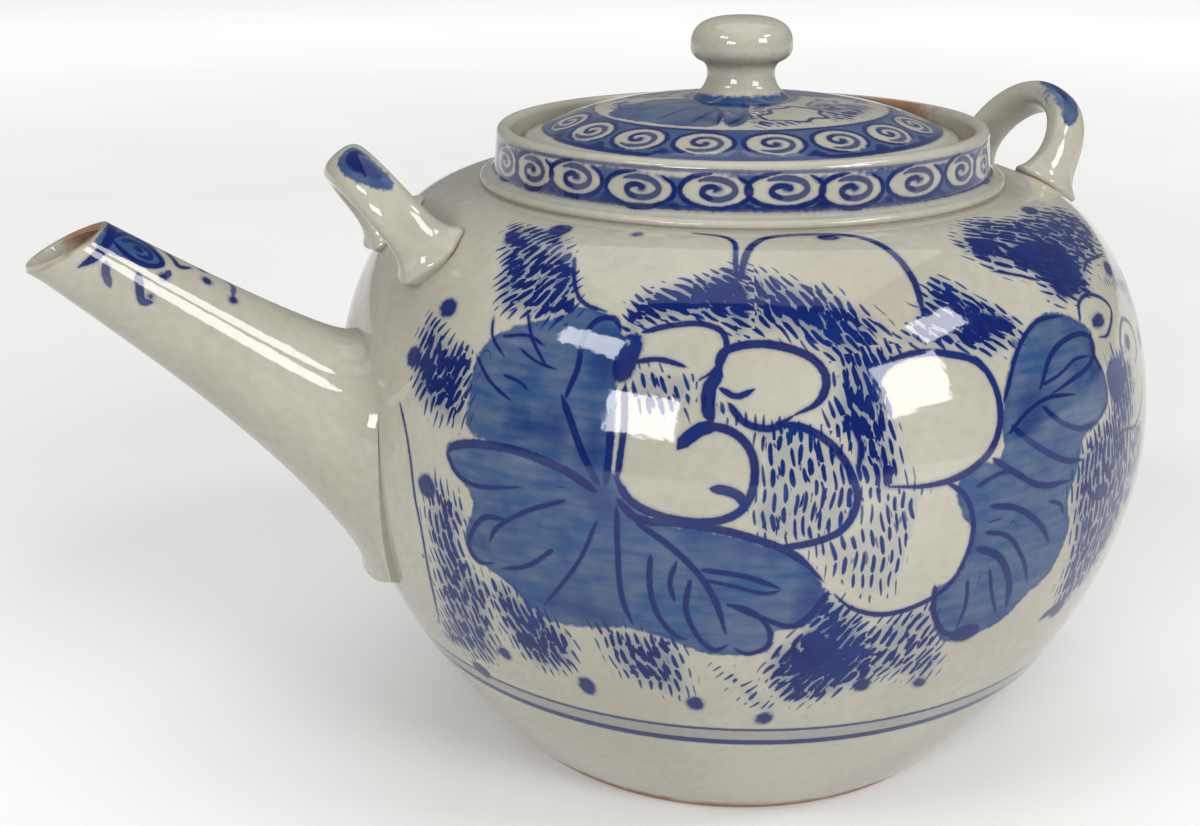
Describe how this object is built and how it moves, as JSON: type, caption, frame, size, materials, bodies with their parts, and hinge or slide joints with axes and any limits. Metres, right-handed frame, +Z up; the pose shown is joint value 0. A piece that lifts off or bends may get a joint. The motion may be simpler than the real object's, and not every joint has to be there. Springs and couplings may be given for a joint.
{
  "type": "lidded teapot",
  "caption": "Round porcelain teapot with a straight tapering spout, an upright neck with a drop-in lid and knob, and two arched lugs for a bail handle.",
  "frame": {"origin": "the pot's turning axis at the plane the foot stands on", "axes": "+Z up along the turning axis, -X towards the spout, +X towards the rear lug"},
  "size_m": [0.1852, 0.14, 0.1245],
  "materials": {
    "painted_glaze": "gloss",
    "band_glaze": "gloss",
    "lid_glaze": "gloss",
    "plain_glaze": "gloss",
    "bare_clay": "matte"
  },
  "bodies": {
    "pot": {"body_shell": "painted_glaze", "foot_ring": "bare_clay", "neck_collar": "band_glaze", "lid_ledge": "bare_clay", "spout": "plain_glaze", "front_lug": "plain_glaze", "rear_lug": "plain_glaze"},
    "lid": {"lid_dome": "lid_glaze", "lid_flange": "bare_clay", "lid_knob": "plain_glaze"}
  },
  "joints": [
    {"name": "lid_lift", "type": "slide", "parent": "pot", "child": "lid", "axis": [0, 0, 1], "range_m": [0, 0.05]}
  ]
}
